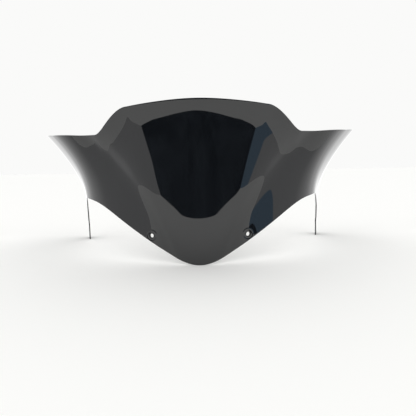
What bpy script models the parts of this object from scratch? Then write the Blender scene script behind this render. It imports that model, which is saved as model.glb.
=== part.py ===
"""Wrap-around windshield screen, moulded in one sheet, with a rubber grommet in each front hole.

The sheet is an open surface. Across it, a point's place is the distance from the centre line measured
round the bend; up it, a point's place is its height above the floor. The heading function says how far
the sheet has turned from facing straight ahead, and everything else follows from that.
"""

import math

import bmesh
import bpy
import numpy as np
from mathutils import Vector

MM = 0.001

# Sheet
SHEET_THICKNESS = 3.0
HALF_LENGTH = 472.4  # centre line to rear edge, measured round the bend

# How far the sheet has turned from facing ahead, in degrees
PANEL_TURN = 14.84  # edge of the flat-looking centre panel
FLANK_TURN = 28.98  # steepest part of the bubble's flank, at floor level
FLANK_TURN_PER_MM = 0.0532
WING_TURN = 11.44  # the valley between bubble and wing, at floor level
WING_TURN_PER_MM = 0.076
BEND_TURN = 60.1  # where the wing starts its outer bend
WALL_TURN = 70.9  # the side wall

# Where along the sheet those turns are reached; the bubble widens with height
NOSE_RADIUS = 111.2
NOSE_RADIUS_PER_MM = 1.5003
NOSE_RADIUS_CURVE = -0.001923
LARGEST_RADIUS = 520.0
FLANK_AT = 46.5
FLANK_PER_MM = 0.2409
FLANK_CURVE = 0.00179
VALLEY_AT = 74.2
VALLEY_PER_MM = 0.3713
VALLEY_CURVE = 0.001484
BEND_AT = 245.1
BEND_LENGTH = 85.9
SHORTEST_WING = 20.0  # keeps the wing beyond the valley, also at the very top of the crown

# Lean of the centre line
NOSE_OVERHANG = 0.0062
LEAN_BACK = -8.11
LEAN_FROM = 97.0
LEAN_OVER = 186.6
LEAN_FADES_FROM = 150.0

# Backward bow of the flank and of the valley, in mm at 100 mm height, and the part that grows as a square
FLANK_BOW = 3.77
FLANK_BOW_CURVE = -0.31
FLANK_BOW_AT = 90.0
FLANK_BOW_REACH = 90.0
VALLEY_BOW = 2.97
VALLEY_BOW_CURVE = 0.06
VALLEY_BOW_AT = 190.0
VALLEY_BOW_REACH = 110.0

# Lower edge: a rounded V, then level, then down to the leg
LOWER_SLOPE = 0.7194
NOSE_ROUNDING = 52.7
CORNER_HEIGHT = 123.1
CORNER_ROUNDING = 10.0
CORNER_AT = 297.5
LEG_AT = 427.0
LEG_TOP = 80.0

# Upper edge: crown, shoulder, notch, wing tip
CROWN_HEIGHT = 309.4
SHOULDER_DROP = 8.2
DROP_FROM = 125.8
DROP_TO = 210.3
NOTCH_HEIGHT = 253.8
TIP_HEIGHT = 266.9
TIP_ROUNDING = 24.0
CORNER_SHARE = 0.99  # a touch under a full quarter circle, so the edge never runs straight down

# Outward flare under the upper edge: on the crown, and at the wing tip
CROWN_FLARE = 19.7
CROWN_FLARE_DEPTH = 112.6
CROWN_FLARE_POWER = 2.527
TIP_FLARE = 63.8
TIP_FLARE_DEPTH = 145.7
TIP_FLARE_POWER = 1.555
FLARE_GROWS_FROM = 180.0
FLARE_GROWS_TO = 412.4

# Legs: height, and how far the front edge is cut back from LEG_AT; the barb is the step forward
LEG_PROFILE = [(64.0, 7.0), (48.0, 11.0), (44.0, 2.0), (38.0, 0.0), (22.0, 11.0), (0.0, 11.0)]

# Front holes and their grommets
HOLE_AT = 101.0
HOLE_HEIGHT = 54.25
HOLE_RADIUS = 5.6
GROMMET_BORE_RADIUS = 4.3
GROMMET_NECK_RADIUS = 5.2
GROMMET_BACK_RADIUS = 8.5
NECK_STANDS_OUT = 0.3
BACK_FLANGE = 2.2
SEAT_GAP = 0.45  # the flange is flat and the sheet is slightly curved
GROMMET_SEGMENTS = 40

# Mesh density of the sheet
COLUMNS_TO_LEG = 34
COLUMNS_ON_LEG = 3
ROWS = 20


def clear_scene():
    for existing in list(bpy.data.objects):
        bpy.data.objects.remove(existing, do_unlink=True)


def make_collection(name):
    collection = bpy.data.collections.new(name)
    bpy.context.scene.collection.children.link(collection)
    return collection


def make_material(name, colour, roughness, metallic=0.0):
    material = bpy.data.materials.new(name)
    material.use_nodes = True
    shader = material.node_tree.nodes["Principled BSDF"]
    shader.inputs["Base Color"].default_value = (*colour, 1.0)
    shader.inputs["Roughness"].default_value = roughness
    shader.inputs["Metallic"].default_value = metallic
    return material


def add_object(name, mesh, collection, material=None):
    made = bpy.data.objects.new(name, mesh)
    collection.objects.link(made)
    if material:
        mesh.materials.append(material)
    return made


def ease(x):
    x = np.clip(x, 0.0, 1.0)
    return x * x * (3.0 - 2.0 * x)


def heading(across, height):
    """How far the sheet has turned from facing ahead, in radians."""
    radius = NOSE_RADIUS + NOSE_RADIUS_PER_MM * height + NOSE_RADIUS_CURVE * height**2
    radius = np.minimum(radius, LARGEST_RADIUS)
    panel = math.radians(PANEL_TURN)
    flank = np.radians(FLANK_TURN + FLANK_TURN_PER_MM * height)
    wing = np.radians(WING_TURN + WING_TURN_PER_MM * height)
    bend = math.radians(BEND_TURN)
    wall = math.radians(WALL_TURN)
    panel_at = radius * panel
    flank_at = FLANK_AT + FLANK_PER_MM * height + FLANK_CURVE * height**2
    valley_at = VALLEY_AT + VALLEY_PER_MM * height + VALLEY_CURVE * height**2
    wall_at = np.maximum(BEND_AT + BEND_LENGTH, valley_at + SHORTEST_WING)
    x = np.clip((across - panel_at) / (flank_at - panel_at), 0.0, 1.0)
    arc = (np.minimum(across, panel_at) + (flank_at - panel_at) * (x - x**3 + x**4 / 2.0)) / radius
    arc_end = (panel_at + flank_at) / 2.0 / radius
    turned = arc + (flank - arc_end) * ease(x)
    turned = turned + (wing - flank) * ease((across - flank_at) / (valley_at - flank_at))
    turned = turned + (bend - wing) * ease((across - valley_at) / (wall_at - valley_at))
    return turned + (wall - bend) * ease((across - BEND_AT) / BEND_LENGTH)


def plan_point(across, height):
    """Sideways and backward distance from the nose, by adding up the heading along the sheet."""
    steps = 48
    share = ((np.arange(steps) + 0.5) / steps).reshape((steps,) + (1,) * np.ndim(across))
    turned = heading(share * across, height)
    return np.cos(turned).mean(axis=0) * across, np.sin(turned).mean(axis=0) * across


def lower_edge(across):
    """Height of the lower edge: a rounded V that levels out, then falls towards the leg."""
    height = 0.5 * across
    for _ in range(6):
        sideways, _backward = plan_point(across, height)
        rising = LOWER_SLOPE * (np.hypot(sideways, NOSE_ROUNDING) - NOSE_ROUNDING)
        height = -CORNER_ROUNDING * np.logaddexp(-rising / CORNER_ROUNDING, -CORNER_HEIGHT / CORNER_ROUNDING)
    fall = np.clip((across - CORNER_AT) / (LEG_AT - CORNER_AT), 0.0, 1.0)
    return height - (CORNER_HEIGHT - LEG_TOP) * fall**2


def upper_line(across):
    """Height of the upper edge before its rear corner is rounded: crown, drop to the notch, wing to its tip."""
    crown = CROWN_HEIGHT - SHOULDER_DROP * np.clip(across / DROP_FROM, 0.0, 1.0) ** 2
    drop = (CROWN_HEIGHT - SHOULDER_DROP - NOTCH_HEIGHT) * ease((across - DROP_FROM) / (DROP_TO - DROP_FROM))
    rise = (TIP_HEIGHT - NOTCH_HEIGHT) * ease((across - DROP_TO) / (HALF_LENGTH - DROP_TO))
    return crown - drop + rise


def upper_edge(across):
    """Height of the upper edge, with the rear corner rounded off."""
    x = np.clip((across - HALF_LENGTH + TIP_ROUNDING) / TIP_ROUNDING, 0.0, 1.0)
    return upper_line(across) - TIP_ROUNDING * (1.0 - np.sqrt(1.0 - CORNER_SHARE * x * x))


def bow(across, height):
    """How far the flank and the valley bow backward, growing with height."""
    tall = height / 100.0
    on_flank = ease(1.0 - abs(across - FLANK_BOW_AT) / FLANK_BOW_REACH)
    on_valley = ease(1.0 - abs(across - VALLEY_BOW_AT) / VALLEY_BOW_REACH)
    flank = (FLANK_BOW * tall + FLANK_BOW_CURVE * tall**2) * on_flank
    valley = (VALLEY_BOW * tall + VALLEY_BOW_CURVE * tall**2) * on_valley
    return flank + valley


def sheet_point(across, height):
    """The outer face of the sheet: X to the right, Y back from the nose, Z up, in mm."""
    sideways, backward = plan_point(across, height)
    turned = heading(across, height)
    leaning = ease((height - LEAN_FROM) / LEAN_OVER)
    fade = 1.0 - ease((across - LEAN_FADES_FROM) / (HALF_LENGTH - LEAN_FADES_FROM))
    backward = backward + fade * (LEAN_BACK * leaning - NOSE_OVERHANG * height * (1.0 - leaning))
    backward = backward + bow(across, height)
    grown = ease((across - FLARE_GROWS_FROM) / (FLARE_GROWS_TO - FLARE_GROWS_FROM))
    size = CROWN_FLARE + (TIP_FLARE - CROWN_FLARE) * grown
    depth = CROWN_FLARE_DEPTH + (TIP_FLARE_DEPTH - CROWN_FLARE_DEPTH) * grown
    power = CROWN_FLARE_POWER + (TIP_FLARE_POWER - CROWN_FLARE_POWER) * grown
    below = upper_line(across) - height
    out = size * np.clip(1.0 - below / depth, 0.0, 1.0) ** power
    return sideways + out * np.sin(turned), backward - out * np.cos(turned), height


def sheet_vector(across, height):
    x, y, z = sheet_point(np.float64(across), np.float64(height))
    return Vector((float(x), float(y), float(z)))


def sheet_normal(across, height):
    """Outward normal of the sheet, from two short steps along it."""
    step = 0.5
    along = sheet_vector(across + step, height) - sheet_vector(across - step, height)
    up = sheet_vector(across, height + step) - sheet_vector(across, height - step)
    return along.cross(up).normalized()


def across_of_column(column):
    if column <= COLUMNS_TO_LEG:
        return LEG_AT * column / COLUMNS_TO_LEG
    return LEG_AT + (HALF_LENGTH - LEG_AT) * (column - COLUMNS_TO_LEG) / COLUMNS_ON_LEG


def place_half_sheet(mesh_edit):
    """Moves a flat unit grid onto the sheet. Returns the vertices along the foot of the leg, front first."""
    columns = COLUMNS_TO_LEG + COLUMNS_ON_LEG
    foot = []
    for vertex in mesh_edit.verts:
        column = round((vertex.co.x + 0.5) * columns)
        row = round((vertex.co.y + 0.5) * ROWS)
        across = across_of_column(column)
        low = float(lower_edge(np.float64(across)))
        high = float(upper_edge(np.float64(across)))
        vertex.co = sheet_vector(across, low + (high - low) * row / ROWS)
        if row == 0 and column >= COLUMNS_TO_LEG:
            foot.append((column, vertex))
    return [vertex for _column, vertex in sorted(foot, key=lambda pair: pair[0])]


def pull_down_leg(mesh_edit, foot):
    """Extrudes the foot of the sheet to the floor, cutting its front edge back except at the barb."""
    for height, cut_back in LEG_PROFILE:
        edges = [mesh_edit.edges.get(pair) for pair in zip(foot[:-1], foot[1:])]
        extruded = bmesh.ops.extrude_edge_only(mesh_edit, edges=edges)["geom"]
        row = [item for item in extruded if isinstance(item, bmesh.types.BMVert)]
        row.sort(key=lambda vertex: vertex.co.y)
        front = LEG_AT + cut_back
        for index, vertex in enumerate(row):
            share = index / (len(row) - 1)
            vertex.co = sheet_vector(front + (HALF_LENGTH - front) * share, height)
        foot = row


def half_sheet_mesh():
    mesh_edit = bmesh.new()
    columns = COLUMNS_TO_LEG + COLUMNS_ON_LEG
    bmesh.ops.create_grid(mesh_edit, x_segments=columns, y_segments=ROWS, size=0.5)
    foot = place_half_sheet(mesh_edit)
    pull_down_leg(mesh_edit, foot)
    bmesh.ops.scale(mesh_edit, vec=(MM, MM, MM), verts=mesh_edit.verts)
    mesh = bpy.data.meshes.new("screen")
    mesh_edit.to_mesh(mesh)
    mesh_edit.free()
    return mesh


def make_screen(collection, material):
    """The sheet: half of it modelled, mirrored, then given its thickness inward."""
    screen = add_object("screen", half_sheet_mesh(), collection, material)
    mirror = screen.modifiers.new("mirror", "MIRROR")
    mirror.merge_threshold = 0.0001
    wall = screen.modifiers.new("sheet thickness", "SOLIDIFY")
    wall.thickness = SHEET_THICKNESS * MM
    wall.offset = -1.0
    wall.use_even_offset = True
    return screen


def hole_place(side):
    """Centre and outward normal of a front hole, in metres; side is -1 for left and 1 for right."""
    centre = sheet_vector(HOLE_AT, HOLE_HEIGHT) * MM
    normal = sheet_normal(HOLE_AT, HOLE_HEIGHT)
    return Vector((side * centre.x, centre.y, centre.z)), Vector((side * normal.x, normal.y, normal.z))


def cut_hole(screen, cutters, side_name, side):
    centre, normal = hole_place(side)
    mesh_edit = bmesh.new()
    reach = 4.0 * SHEET_THICKNESS * MM
    radius = HOLE_RADIUS * MM
    bmesh.ops.create_cone(
        mesh_edit, cap_ends=True, segments=GROMMET_SEGMENTS, radius1=radius, radius2=radius, depth=reach
    )
    mesh = bpy.data.meshes.new("hole_cutter_" + side_name)
    mesh_edit.to_mesh(mesh)
    mesh_edit.free()
    cutter = add_object("hole_cutter_" + side_name, mesh, cutters)
    cutter.location = centre
    cutter.rotation_mode = "QUATERNION"
    cutter.rotation_quaternion = normal.to_track_quat("Z", "Y")
    cutter.hide_render = True
    cutter.display_type = "WIRE"
    cut = screen.modifiers.new("hole " + side_name, "BOOLEAN")
    cut.operation = "DIFFERENCE"
    cut.solver = "EXACT"
    cut.object = cutter
    return cutter


def grommet_profile():
    """Half section of a grommet: radius and height above the sheet's outer face, down the outside."""
    back = -SHEET_THICKNESS - SEAT_GAP
    return [
        (GROMMET_BORE_RADIUS, NECK_STANDS_OUT),
        (GROMMET_NECK_RADIUS, NECK_STANDS_OUT),
        (GROMMET_NECK_RADIUS, back),
        (GROMMET_BACK_RADIUS, back),
        (GROMMET_BACK_RADIUS, back - BACK_FLANGE),
        (GROMMET_BORE_RADIUS, back - BACK_FLANGE),
    ]


def make_grommet(collection, material, side_name, side):
    mesh_edit = bmesh.new()
    ring = [mesh_edit.verts.new((radius * MM, 0.0, height * MM)) for radius, height in grommet_profile()]
    outline = [mesh_edit.edges.new(pair) for pair in zip(ring, ring[1:] + ring[:1])]
    bmesh.ops.spin(
        mesh_edit,
        geom=ring + outline,
        cent=(0.0, 0.0, 0.0),
        axis=(0.0, 0.0, 1.0),
        angle=2.0 * math.pi,
        steps=GROMMET_SEGMENTS,
        use_merge=True,
    )
    bmesh.ops.recalc_face_normals(mesh_edit, faces=mesh_edit.faces)
    mesh = bpy.data.meshes.new("grommet_" + side_name)
    mesh_edit.to_mesh(mesh)
    mesh_edit.free()
    grommet = add_object("grommet_" + side_name, mesh, collection, material)
    centre, normal = hole_place(side)
    grommet.location = centre
    grommet.rotation_mode = "QUATERNION"
    grommet.rotation_quaternion = normal.to_track_quat("Z", "Y")
    mesh.set_sharp_from_angle(angle=math.radians(40.0))
    return grommet


def bounds_of(target):
    """Lowest and highest corner of the evaluated object."""
    evaluated = target.evaluated_get(bpy.context.evaluated_depsgraph_get())
    corners = [target.matrix_world @ Vector(corner) for corner in evaluated.bound_box]
    low = Vector([min(corner[axis] for corner in corners) for axis in range(3)])
    high = Vector([max(corner[axis] for corner in corners) for axis in range(3)])
    return low, high


def stand_on_origin(collection, screen, others):
    """Parents everything to one empty and moves it, so the origin is the middle of the base."""
    bpy.context.view_layer.update()
    low, high = bounds_of(screen)
    base = bpy.data.objects.new("screen_base", None)
    collection.objects.link(base)
    base.location = (-(low.x + high.x) / 2.0, -(low.y + high.y) / 2.0, -low.z)
    for member in [screen] + others:
        member.parent = base
    bpy.context.view_layer.update()
    low, high = bounds_of(screen)
    print("screen size in mm", [round((high[axis] - low[axis]) / MM, 1) for axis in range(3)])


def main():
    clear_scene()
    parts = make_collection("windshield_screen")
    cutters = make_collection("cutters")
    polycarbonate = make_material("black_polycarbonate", (0.008, 0.010, 0.012), 0.05)
    rubber = make_material("black_rubber", (0.020, 0.020, 0.020), 0.70)
    screen = make_screen(parts, polycarbonate)
    members = []
    for side_name, side in (("left", -1.0), ("right", 1.0)):
        members.append(cut_hole(screen, cutters, side_name, side))
        members.append(make_grommet(parts, rubber, side_name, side))
    stand_on_origin(parts, screen, members)


main()
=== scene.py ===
import math
import bmesh
import bpy
import numpy as np
from mathutils import Matrix, Vector


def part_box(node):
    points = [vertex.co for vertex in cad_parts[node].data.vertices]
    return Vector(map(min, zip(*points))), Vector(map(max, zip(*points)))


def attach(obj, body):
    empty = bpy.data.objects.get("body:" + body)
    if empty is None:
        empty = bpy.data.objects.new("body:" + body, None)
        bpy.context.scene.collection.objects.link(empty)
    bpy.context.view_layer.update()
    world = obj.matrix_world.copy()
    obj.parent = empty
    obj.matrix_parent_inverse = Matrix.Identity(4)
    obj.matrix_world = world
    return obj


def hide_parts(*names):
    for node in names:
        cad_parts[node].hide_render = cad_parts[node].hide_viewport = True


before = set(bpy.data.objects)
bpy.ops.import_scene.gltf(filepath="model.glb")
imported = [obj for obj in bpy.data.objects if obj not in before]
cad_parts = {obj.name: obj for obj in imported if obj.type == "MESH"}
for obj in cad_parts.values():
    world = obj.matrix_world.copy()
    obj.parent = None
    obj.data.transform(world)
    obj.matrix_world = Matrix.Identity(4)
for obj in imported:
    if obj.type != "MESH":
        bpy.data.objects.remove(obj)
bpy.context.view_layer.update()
mm = 0.001
print("frame loaded:", sorted(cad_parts))


def hexToLinear(code):
    channels = [int(code[i:i + 2], 16) / 255.0 for i in (1, 3, 5)]
    return [c / 12.92 if c <= 0.04045 else ((c + 0.055) / 1.055) ** 2.4 for c in channels] + [1.0]


def ease(x):
    x = np.clip(x, 0.0, 1.0)
    return x * x * (3.0 - 2.0 * x)


def addNode(tree, kind, settings=None, links=None):
    node = tree.nodes.new(kind)
    for name, value in (settings or {}).items():
        if isinstance(name, int) or name in node.inputs:
            node.inputs[name].default_value = value
        else:
            setattr(node, name, value)
    for name, source in (links or {}).items():
        tree.links.new(source, node.inputs[name])
    return node


def newMaterial(name):
    material = bpy.data.materials.new(name)
    material.use_nodes = True
    tree = material.node_tree
    return material, tree, tree.nodes["Principled BSDF"]


def finishMesh(bm, name, material, sharpAngle):
    mesh = bpy.data.meshes.new(name)
    bm.to_mesh(mesh)
    bm.free()
    mesh.materials.append(material)
    mesh.shade_smooth()
    mesh.set_sharp_from_angle(angle=math.radians(sharpAngle))
    piece = bpy.data.objects.new(name, mesh)
    bpy.context.scene.collection.objects.link(piece)
    return piece


def makePolycarbonate():
    # moulded polycarbonate, dyed through: near black, polished like glass, clear mirror reflections
    look = {
        "tint": "#0B0D10", "roughness": 0.02, "hazeRoughness": 0.055, "ior": 1.72, "hazeSize": 45.0,
        "waveSize": 70.0, "waveHeight": 0.05,
        "dustSpacing": 5.0, "dustRadius": 0.32, "dustTone": "#4A4B4A", "mostDust": 0.7,
    }
    material, tree, shader = newMaterial("moulded polycarbonate, dyed black")
    shader.inputs["IOR"].default_value = look["ior"]
    place = addNode(tree, "ShaderNodeTexCoord").outputs["Object"]
    # faint handling haze: the polish is a little duller in soft patches
    hazeScale = 1.0 / (look["hazeSize"] * mm)
    haze = addNode(tree, "ShaderNodeTexNoise", {"Scale": hazeScale, "Detail": 3.0}, {"Vector": place})
    polishRange = {"From Min": 0.5, "From Max": 0.8}
    polishRange.update({"To Min": look["roughness"], "To Max": look["hazeRoughness"]})
    polish = addNode(tree, "ShaderNodeMapRange", polishRange, {"Value": haze.outputs["Fac"]})
    # sparse dust specks, drawn about twice as coarse as real dust so that a few show
    dustScale = 1.0 / (look["dustSpacing"] * mm)
    dust = addNode(tree, "ShaderNodeTexVoronoi", {"Scale": dustScale}, {"Vector": place})
    nearSpeck = {"operation": "LESS_THAN", 1: look["dustRadius"] / look["dustSpacing"]}
    speck = addNode(tree, "ShaderNodeMath", nearSpeck, {0: dust.outputs["Distance"]})
    patchRange = {"From Min": 0.55, "From Max": 0.7, "To Max": look["mostDust"]}
    patch = addNode(tree, "ShaderNodeMapRange", patchRange, {"Value": haze.outputs["Fac"]})
    both = {0: speck.outputs[0], 1: patch.outputs["Result"]}
    dusty = addNode(tree, "ShaderNodeMath", {"operation": "MULTIPLY"}, both)
    tone = addNode(tree, "ShaderNodeMix", {"data_type": "RGBA"}, {"Factor": dusty.outputs[0]})
    tone.inputs[6].default_value = hexToLinear(look["tint"])
    tone.inputs[7].default_value = hexToLinear(look["dustTone"])
    tree.links.new(tone.outputs[2], shader.inputs["Base Color"])
    tree.links.new(polish.outputs["Result"], shader.inputs["Roughness"])
    # slow waves left by forming, a few hundredths of a millimetre high: they bend the reflections a little
    waveScale = 1.0 / (look["waveSize"] * mm)
    wave = addNode(tree, "ShaderNodeTexNoise", {"Scale": waveScale, "Detail": 1.0}, {"Vector": place})
    waveBump = {"Strength": 1.0, "Distance": look["waveHeight"] * mm}
    bump = addNode(tree, "ShaderNodeBump", waveBump, {"Height": wave.outputs["Fac"]})
    tree.links.new(bump.outputs["Normal"], shader.inputs["Normal"])
    return material


def makeRubber():
    # moulded rubber: matt, very dark, with a fine grain that only softens the light
    look = {
        "dark": "#131313", "light": "#222221", "roughness": 0.62, "specular": 0.4,
        "grainSize": 0.6, "grainDepth": 0.05, "grainStrength": 0.5,
    }
    material, tree, shader = newMaterial("moulded rubber, black")
    shader.inputs["Roughness"].default_value = look["roughness"]
    shader.inputs["Specular IOR Level"].default_value = look["specular"]
    place = addNode(tree, "ShaderNodeTexCoord").outputs["Object"]
    grainScale = 1.0 / (look["grainSize"] * mm)
    grain = addNode(tree, "ShaderNodeTexNoise", {"Scale": grainScale, "Detail": 2.0}, {"Vector": place})
    shade = addNode(tree, "ShaderNodeValToRGB", {}, {"Fac": grain.outputs["Fac"]})
    shade.color_ramp.elements[0].color = hexToLinear(look["dark"])
    shade.color_ramp.elements[1].color = hexToLinear(look["light"])
    tree.links.new(shade.outputs["Color"], shader.inputs["Base Color"])
    grainBump = {"Strength": look["grainStrength"], "Distance": look["grainDepth"] * mm}
    bump = addNode(tree, "ShaderNodeBump", grainBump, {"Height": grain.outputs["Fac"]})
    tree.links.new(bump.outputs["Normal"], shader.inputs["Normal"])
    return material


polycarbonate = makePolycarbonate()
rubber = makeRubber()
print("materials ready")


sheet = {
    "thickness": 3.0, "halfLength": 472.4, "edgeRound": 1.1, "rimAngle": 60, "sharpAngle": 40,
    # how far the sheet has turned from facing ahead, in degrees
    "panelTurn": 14.84, "flankTurn": 28.98, "flankTurnPerMm": 0.0532,
    "wingTurn": 11.44, "wingTurnPerMm": 0.076,
    "bendTurn": 60.1, "wallTurn": 70.9,
    # where along the sheet it gets there; the bubble widens with height
    "noseRadius": 111.2, "noseRadiusPerMm": 1.5003, "noseRadiusCurve": -0.001923, "largestRadius": 520.0,
    "flankAt": 46.5, "flankPerMm": 0.2409, "flankCurve": 0.00179,
    "valleyAt": 74.2, "valleyPerMm": 0.3713, "valleyCurve": 0.001484,
    "bendAt": 245.1, "bendLength": 85.9, "shortestWing": 20.0,
    # lean of the centre line
    "noseOverhang": 0.0062, "leanBack": -8.11, "leanFrom": 97.0, "leanOver": 186.6,
    "leanFadesFrom": 150.0,
    # backward bow of the flank and of the valley
    "flankBow": (3.77, -0.31), "flankBowAt": 90.0, "flankBowReach": 90.0,
    "valleyBow": (2.97, 0.06), "valleyBowAt": 190.0, "valleyBowReach": 110.0,
    # lower edge
    "lowerSlope": 0.7194, "noseRounding": 52.7, "cornerHeight": 123.1, "cornerRounding": 10.0,
    "cornerAt": 297.5, "legAt": 427.0, "legTop": 80.0,
    # upper edge
    "crownHeight": 309.4, "shoulderDrop": 8.2, "dropFrom": 125.8, "dropTo": 210.3, "notchHeight": 253.8,
    "tipHeight": 266.9, "tipRounding": 24.0, "cornerShare": 0.99,
    # outward flare under the upper edge, on the crown and at the wing tip
    "crownFlare": (19.7, 112.6, 2.527), "tipFlare": (63.8, 145.7, 1.555), "flareGrows": (180.0, 412.4),
    # legs: height, and how far the front edge is cut back; the barb is the step forward
    "legProfile": [(64.0, 7.0), (48.0, 11.0), (44.0, 2.0), (38.0, 0.0), (22.0, 11.0), (0.0, 11.0)],
    # front holes
    "holeAt": 101.0, "holeHeight": 54.25, "holeRadius": 5.6, "drillLength": 14.0, "holeSides": 64,
    "columnsToLeg": 150, "columnsOnLeg": 12, "rows": 100, "rowsOnLeg": 40,
}


def heading(across, height):
    s = sheet
    radius = s["noseRadius"] + s["noseRadiusPerMm"] * height + s["noseRadiusCurve"] * height**2
    radius = np.minimum(radius, s["largestRadius"])
    panel = math.radians(s["panelTurn"])
    flank = np.radians(s["flankTurn"] + s["flankTurnPerMm"] * height)
    wing = np.radians(s["wingTurn"] + s["wingTurnPerMm"] * height)
    bend = math.radians(s["bendTurn"])
    wall = math.radians(s["wallTurn"])
    panelAt = radius * panel
    flankAt = s["flankAt"] + s["flankPerMm"] * height + s["flankCurve"] * height**2
    valleyAt = s["valleyAt"] + s["valleyPerMm"] * height + s["valleyCurve"] * height**2
    wallAt = np.maximum(s["bendAt"] + s["bendLength"], valleyAt + s["shortestWing"])
    x = np.clip((across - panelAt) / (flankAt - panelAt), 0.0, 1.0)
    arc = (np.minimum(across, panelAt) + (flankAt - panelAt) * (x - x**3 + x**4 / 2.0)) / radius
    arcEnd = (panelAt + flankAt) / 2.0 / radius
    turned = arc + (flank - arcEnd) * ease(x)
    turned = turned + (wing - flank) * ease((across - flankAt) / (valleyAt - flankAt))
    turned = turned + (bend - wing) * ease((across - valleyAt) / (wallAt - valleyAt))
    return turned + (wall - bend) * ease((across - s["bendAt"]) / s["bendLength"])


def planPoint(across, height):
    steps = 48
    share = ((np.arange(steps) + 0.5) / steps).reshape((steps,) + (1,) * np.ndim(across))
    turned = heading(share * across, height)
    return np.cos(turned).mean(axis=0) * across, np.sin(turned).mean(axis=0) * across


def lowerEdge(across):
    s = sheet
    height = 0.5 * across
    for _ in range(6):
        sideways, backward = planPoint(across, height)
        rising = s["lowerSlope"] * (np.hypot(sideways, s["noseRounding"]) - s["noseRounding"])
        soft = s["cornerRounding"]
        height = -soft * np.logaddexp(-rising / soft, -s["cornerHeight"] / soft)
    fall = np.clip((across - s["cornerAt"]) / (s["legAt"] - s["cornerAt"]), 0.0, 1.0)
    return height - (s["cornerHeight"] - s["legTop"]) * fall**2


def upperLine(across):
    # the upper edge before its rear corner is rounded
    s = sheet
    crown = s["crownHeight"] - s["shoulderDrop"] * np.clip(across / s["dropFrom"], 0.0, 1.0) ** 2
    dropping = ease((across - s["dropFrom"]) / (s["dropTo"] - s["dropFrom"]))
    rising = ease((across - s["dropTo"]) / (s["halfLength"] - s["dropTo"]))
    drop = (s["crownHeight"] - s["shoulderDrop"] - s["notchHeight"]) * dropping
    rise = (s["tipHeight"] - s["notchHeight"]) * rising
    return crown - drop + rise


def upperEdge(across):
    s = sheet
    x = np.clip((across - s["halfLength"] + s["tipRounding"]) / s["tipRounding"], 0.0, 1.0)
    return upperLine(across) - s["tipRounding"] * (1.0 - np.sqrt(1.0 - s["cornerShare"] * x * x))


def sheetPoint(across, height):
    s = sheet
    sideways, backward = planPoint(across, height)
    turned = heading(across, height)
    leaning = ease((height - s["leanFrom"]) / s["leanOver"])
    fade = 1.0 - ease((across - s["leanFadesFrom"]) / (s["halfLength"] - s["leanFadesFrom"]))
    backward = backward + fade * (s["leanBack"] * leaning - s["noseOverhang"] * height * (1.0 - leaning))
    tall = height / 100.0
    for bow in ("flankBow", "valleyBow"):
        near = ease(1.0 - abs(across - s[bow + "At"]) / s[bow + "Reach"])
        backward = backward + (s[bow][0] * tall + s[bow][1] * tall**2) * near
    grown = ease((across - s["flareGrows"][0]) / (s["flareGrows"][1] - s["flareGrows"][0]))
    size, depth, power = [a + (b - a) * grown for a, b in zip(s["crownFlare"], s["tipFlare"])]
    below = upperLine(across) - height
    out = size * np.clip(1.0 - below / depth, 0.0, 1.0) ** power
    x = sideways + out * np.sin(turned)
    y = backward - out * np.cos(turned)
    return np.stack([x, y, height + 0.0 * out], axis=-1)


def buildHalfSheet(bm):
    s = sheet
    columns = s["columnsToLeg"] + s["columnsOnLeg"]
    bmesh.ops.create_grid(bm, x_segments=columns, y_segments=s["rows"], size=0.5)
    verts = list(bm.verts)
    column = np.array([round((v.co.x + 0.5) * columns) for v in verts])
    row = np.array([round((v.co.y + 0.5) * s["rows"]) for v in verts])
    across = np.interp(column, [0, s["columnsToLeg"], columns], [0.0, s["legAt"], s["halfLength"]])
    low = lowerEdge(across)
    height = low + (upperEdge(across) - low) * row / s["rows"]
    for v, place in zip(verts, sheetPoint(across, height)):
        v.co = place
    foot = [v for v, c, r in zip(verts, column, row) if r == 0 and c >= s["columnsToLeg"]]
    foot.sort(key=lambda v: v.co.y)
    return foot


def pullDownLeg(bm, foot):
    # the leg follows the sheet's own bend down to the floor
    s = sheet
    knots = [(s["legTop"], 0.0)] + s["legProfile"]
    heights = np.linspace(s["legTop"], 0.0, s["rowsOnLeg"] + 1)[1:]
    for height in heights:
        cutBack = float(np.interp(-height, [-k[0] for k in knots], [k[1] for k in knots]))
        edges = [bm.edges.get(pair) for pair in zip(foot[:-1], foot[1:])]
        made = bmesh.ops.extrude_edge_only(bm, edges=edges)["geom"]
        foot = sorted([g for g in made if isinstance(g, bmesh.types.BMVert)], key=lambda v: v.co.y)
        across = np.linspace(s["legAt"] + cutBack, s["halfLength"], len(foot))
        for v, place in zip(foot, sheetPoint(across, np.full(len(foot), height))):
            v.co = place


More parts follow.
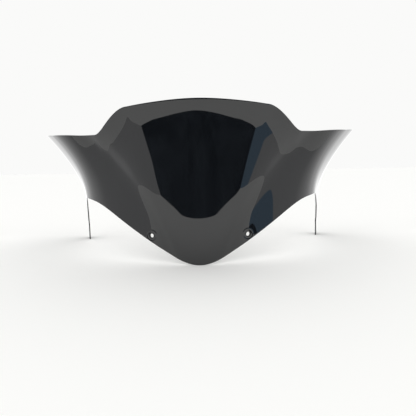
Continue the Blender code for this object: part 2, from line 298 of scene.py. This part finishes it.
def makeSheet():
    s = sheet
    bm = bmesh.new()
    foot = buildHalfSheet(bm)
    pullDownLeg(bm, foot)
    print("  half sheet:", len(bm.faces), "faces")
    bmesh.ops.mirror(bm, geom=bm.verts[:] + bm.edges[:] + bm.faces[:], axis="X", merge_dist=0.01)
    bmesh.ops.recalc_face_normals(bm, faces=bm.faces)
    bm.normal_update()
    middle = min(bm.faces, key=lambda f: (f.calc_center_median() - Vector((0, 0, 150))).length)
    if middle.normal.y > 0:
        bmesh.ops.reverse_faces(bm, faces=bm.faces)
    bmesh.ops.solidify(bm, geom=bm.faces[:], thickness=s["thickness"])
    bm.normal_update()
    rimAngle = math.radians(s["rimAngle"])
    rim = [e for e in bm.edges if len(e.link_faces) == 2 and e.calc_face_angle(0.0) > rimAngle]
    bmesh.ops.bevel(bm, geom=rim, offset=s["edgeRound"], segments=3, profile=0.5, affect="EDGES",
                    material=-1, clamp_overlap=True)
    bmesh.ops.scale(bm, vec=(mm, mm, mm), verts=bm.verts)
    points = np.array([v.co for v in bm.verts])
    low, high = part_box("screen")
    forward = (low.y + high.y - points[:, 1].min() - points[:, 1].max()) / 2.0
    shift = Vector((0.0, forward, low.z - points[:, 2].min()))
    bmesh.ops.translate(bm, vec=shift, verts=bm.verts)
    cadSpans = [round((high[i] - low[i]) / mm, 1) for i in range(3)]
    print("  sheet spans", np.round(np.ptp(points, axis=0) / mm, 1), "CAD", cadSpans)
    return finishMesh(bm, "screenSheet", polycarbonate, s["sharpAngle"]), shift


def holePlace(side):
    # centre of a front hole on the outer face, and the way that face looks
    s = sheet
    step = 0.5
    across, height = np.float64(s["holeAt"]), np.float64(s["holeHeight"])
    along = sheetPoint(across + step, height) - sheetPoint(across - step, height)
    up = sheetPoint(across, height + step) - sheetPoint(across, height - step)
    normal = Vector(np.cross(along, up)).normalized()
    centre = Vector(sheetPoint(across, height)) * mm + sheetShift
    turn = Vector((side * normal.x, normal.y, normal.z)).to_track_quat("Z", "Y").to_matrix().to_4x4()
    return Matrix.Translation((side * centre.x, centre.y, centre.z)) @ turn


def cutHoles(piece):
    s = sheet
    bm = bmesh.new()
    for side in (-1, 1):
        radius = s["holeRadius"] * mm
        bmesh.ops.create_cone(bm, cap_ends=True, segments=s["holeSides"], radius1=radius, radius2=radius,
                              depth=s["drillLength"] * mm, matrix=holePlace(side))
    cutter = finishMesh(bm, "holeCutter", polycarbonate, s["sharpAngle"])
    drill = piece.modifiers.new("front holes", "BOOLEAN")
    drill.operation = "DIFFERENCE"
    drill.solver = "EXACT"
    drill.object = cutter
    drilled = bpy.data.meshes.new_from_object(piece.evaluated_get(bpy.context.evaluated_depsgraph_get()))
    piece.modifiers.clear()
    piece.data = drilled
    bpy.data.objects.remove(cutter)
    drilled.set_sharp_from_angle(angle=math.radians(s["sharpAngle"]))
    print("  holes cut:", len(drilled.polygons), "faces")


def addSeatRings(material):
    # a shallow raised ring round each front hole, too low for the mesh: it only bends the reflections
    look = {"radius": 10.6, "halfWidth": 1.9, "height": 0.2}
    tree = material.node_tree
    centre = holePlace(1).translation
    place = addNode(tree, "ShaderNodeTexCoord").outputs["Object"]
    mirrored = addNode(tree, "ShaderNodeVectorMath", {"operation": "ABSOLUTE"}, {0: place})
    fromHole = {"operation": "DISTANCE", 1: [abs(c) for c in centre]}
    away = addNode(tree, "ShaderNodeVectorMath", fromHole, {0: mirrored.outputs[0]})
    fromRing = {"operation": "SUBTRACT", 1: look["radius"] * mm}
    off = addNode(tree, "ShaderNodeMath", fromRing, {0: away.outputs["Value"]})
    offset = addNode(tree, "ShaderNodeMath", {"operation": "ABSOLUTE"}, {0: off.outputs[0]})
    crest = {"interpolation_type": "SMOOTHSTEP", "From Max": look["halfWidth"] * mm}
    crest.update({"To Min": 1.0, "To Max": 0.0})
    ring = addNode(tree, "ShaderNodeMapRange", crest, {"Value": offset.outputs[0]})
    onWaves = {"Height": ring.outputs["Result"], "Normal": tree.nodes["Bump"].outputs["Normal"]}
    bump = addNode(tree, "ShaderNodeBump", {"Strength": 1.0, "Distance": look["height"] * mm}, onWaves)
    tree.links.new(bump.outputs["Normal"], tree.nodes["Principled BSDF"].inputs["Normal"])


grommet = {
    "bore": 4.3, "neck": 5.2, "backFlange": 8.5, "frontStandsOut": 0.3, "flangeThickness": 2.2,
    "seatGap": 0.45, "edgeRound": 0.4, "roundFrom": 60, "sharpAngle": 50, "segments": 96,
}


def makeGrommet(node, side):
    g = grommet
    seat = -sheet["thickness"] - g["seatGap"]
    back = seat - g["flangeThickness"]
    outline = [(g["bore"], g["frontStandsOut"]), (g["neck"], g["frontStandsOut"]), (g["neck"], seat),
               (g["backFlange"], seat), (g["backFlange"], back), (g["bore"], back)]
    bm = bmesh.new()
    ring = [bm.verts.new((r * mm, 0, z * mm)) for r, z in outline]
    edges = [bm.edges.new(pair) for pair in zip(ring, ring[1:] + ring[:1])]
    bmesh.ops.spin(bm, geom=ring + edges, cent=(0, 0, 0), axis=(0, 0, 1), angle=2 * math.pi,
                   steps=g["segments"], use_merge=True)
    bmesh.ops.recalc_face_normals(bm, faces=bm.faces)
    sharp = [e for e in bm.edges if e.calc_face_angle(0.0) > math.radians(g["roundFrom"])]
    bmesh.ops.bevel(bm, geom=sharp, offset=g["edgeRound"] * mm, segments=3, profile=0.5, affect="EDGES",
                    material=-1)
    bmesh.ops.transform(bm, matrix=holePlace(side), verts=bm.verts)
    piece = finishMesh(bm, node + "Turned", rubber, g["sharpAngle"])
    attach(piece, "root")
    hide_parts(node)


screenSheet, sheetShift = makeSheet()
cutHoles(screenSheet)
addSeatRings(polycarbonate)
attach(screenSheet, "root")
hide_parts("screen")
print("sheet ready")
makeGrommet("grommet_left", -1)
makeGrommet("grommet_right", 1)
print("grommets ready")


studio = {
    "turn": -1.38,
    "left": -0.567, "right": 0.6085, "front": -0.5416, "back": 0.337, "wallHeight": 0.9, "floorReach": 6,
    "floorTone": "#F6F6F4", "horizonTone": "#FAFAF9", "roomTone": "#FFFFFF", "roomStrength": 1.1,
    "darkLow": "#2C3036", "darkHigh": "#4C535A", "darkFrom": 0.35, "darkTo": 0.7, "darkShapes": 5.0,
    "sideStrength": 0.66, "sideStrengthBehind": 1.5, "sideGrowsFrom": -0.15, "sideGrowsTo": 0.2,
    "backStrength": 1.3, "blueTone": "#8FA9C0", "blueStrength": 1.0, "blueDepth": 0.25, "blueInset": 0.004,
}


def addPanel(name, panels, material):
    mesh = bpy.data.meshes.new(name)
    bm = bmesh.new()
    for corners in panels:
        bm.faces.new([bm.verts.new(c) for c in corners])
    bm.to_mesh(mesh)
    bm.free()
    mesh.materials.append(material)
    panel = bpy.data.objects.new(name, mesh)
    bpy.context.scene.collection.objects.link(panel)
    return panel


def makeGlow(name, tone, strength):
    material = bpy.data.materials.new(name)
    material.use_nodes = True
    tree = material.node_tree
    tree.nodes.clear()
    glow = addNode(tree, "ShaderNodeEmission", {"Color": hexToLinear(tone), "Strength": strength})
    addNode(tree, "ShaderNodeOutputMaterial", {}, {"Surface": glow.outputs[0]})
    return material


def benchCorner(sideways, backward, height):
    # the bench stands a little turned to the windshield
    turn = math.radians(studio["turn"])
    x = sideways * math.cos(turn) - backward * math.sin(turn)
    y = sideways * math.sin(turn) + backward * math.cos(turn) + sheetShift.y
    return (x, y, height)


def makeStudio():
    s = studio
    floorPaint, tree, shader = newMaterial("matt studio floor, pale")
    shader.inputs["Base Color"].default_value = hexToLinear(s["floorTone"])
    shader.inputs["Roughness"].default_value = 0.9
    shader.inputs["Specular IOR Level"].default_value = 0.1
    left, right, front, back, top = s["left"], s["right"], s["front"], s["back"], s["wallHeight"]
    low = [benchCorner(*c, 0.0) for c in ((left, front), (right, front), (right, back), (left, back))]
    high = [benchCorner(*c, top) for c in ((left, front), (right, front), (right, back), (left, back))]
    addPanel("benchTop", [low], floorPaint)
    reach = s["floorReach"]
    rim = [(-reach, -reach, 0), (reach, -reach, 0), (reach, reach, 0), (-reach, reach, 0)]
    around = [[rim[i], rim[(i + 1) % 4], low[(i + 1) % 4], low[i]] for i in range(4)]
    far = addPanel("farFloor", around, floorPaint)
    far.visible_glossy = False
    sideGlow = makeGlow("soft side light", "#FFFFFF", s["sideStrength"])
    # the side lights are brighter behind the windshield than in front of it
    tree = sideGlow.node_tree
    coordinates = addNode(tree, "ShaderNodeTexCoord").outputs["Object"]
    place = addNode(tree, "ShaderNodeSeparateXYZ", {}, {0: coordinates})
    growth = {"From Min": s["sideGrowsFrom"], "From Max": s["sideGrowsTo"], "To Min": s["sideStrength"],
              "To Max": s["sideStrengthBehind"]}
    grow = addNode(tree, "ShaderNodeMapRange", growth, {"Value": place.outputs["Y"]})
    tree.links.new(grow.outputs["Result"], tree.nodes["Emission"].inputs["Strength"])
    backGlow = makeGlow("soft back light", "#FFFFFF", s["backStrength"])
    blueGlow = makeGlow("cool strip light", s["blueTone"], s["blueStrength"])
    inner = s["right"] - s["blueInset"]
    strip = [benchCorner(inner, front, 0.0), benchCorner(inner, front + s["blueDepth"], 0.0),
             benchCorner(inner, front + s["blueDepth"], top), benchCorner(inner, front, top)]
    panels = [
        addPanel("coolStrip", [strip], blueGlow),
        addPanel("sideLightLeft", [[low[0], low[3], high[3], high[0]]], sideGlow),
        addPanel("sideLightRight", [[low[1], low[2], high[2], high[1]]], sideGlow),
        addPanel("backLight", [[low[2], low[3], high[3], high[2]]], backGlow),
    ]
    for panel in panels:
        panel.visible_camera = False
        panel.visible_shadow = False
        panel.visible_diffuse = False
    world = bpy.data.worlds.new("pale studio")
    bpy.context.scene.world = world
    world.use_nodes = True
    tree = world.node_tree
    tree.nodes.clear()
    # pale to the eye and to the floor; the polished sheet sees a dim room in front of it
    rays = addNode(tree, "ShaderNodeLightPath")
    place = addNode(tree, "ShaderNodeTexCoord").outputs["Generated"]
    shapes = addNode(tree, "ShaderNodeTexNoise", {"Scale": s["darkShapes"], "Detail": 2.0}, {"Vector": place})
    dim = addNode(tree, "ShaderNodeValToRGB", {}, {"Fac": shapes.outputs["Fac"]})
    dim.color_ramp.elements[0].position = s["darkFrom"]
    dim.color_ramp.elements[0].color = hexToLinear(s["darkLow"])
    dim.color_ramp.elements[1].position = s["darkTo"]
    dim.color_ramp.elements[1].color = hexToLinear(s["darkHigh"])
    roomLight = {"Color": hexToLinear(s["roomTone"]), "Strength": s["roomStrength"]}
    light = addNode(tree, "ShaderNodeBackground", roomLight)
    seen = addNode(tree, "ShaderNodeBackground", {"Color": hexToLinear(s["horizonTone"])})
    dark = addNode(tree, "ShaderNodeBackground", {}, {"Color": dim.outputs["Color"]})
    toCamera = {0: rays.outputs["Is Camera Ray"], 1: light.outputs[0], 2: seen.outputs[0]}
    first = addNode(tree, "ShaderNodeMixShader", {}, toCamera)
    toGloss = {0: rays.outputs["Is Glossy Ray"], 1: first.outputs[0], 2: dark.outputs[0]}
    mix = addNode(tree, "ShaderNodeMixShader", {}, toGloss)
    addNode(tree, "ShaderNodeOutputWorld", {}, {"Surface": mix.outputs[0]})
    bpy.context.scene.view_settings.view_transform = "Standard"


def makeCamera():
    view = {"lens": 32.7, "place": (0.0215, -0.7083, 0.2018), "angles": (82.71, 1.12, 0.20)}
    data = bpy.data.cameras.new("camera")
    camera = bpy.data.objects.new("camera", data)
    bpy.context.scene.collection.objects.link(camera)
    data.lens = view["lens"]
    data.sensor_width = 36.0
    camera.location = Vector(view["place"]) + Vector((0.0, sheetShift.y, 0.0))
    camera.rotation_euler = [math.radians(a) for a in view["angles"]]
    bpy.context.scene.camera = camera


makeStudio()
makeCamera()
print("studio ready")
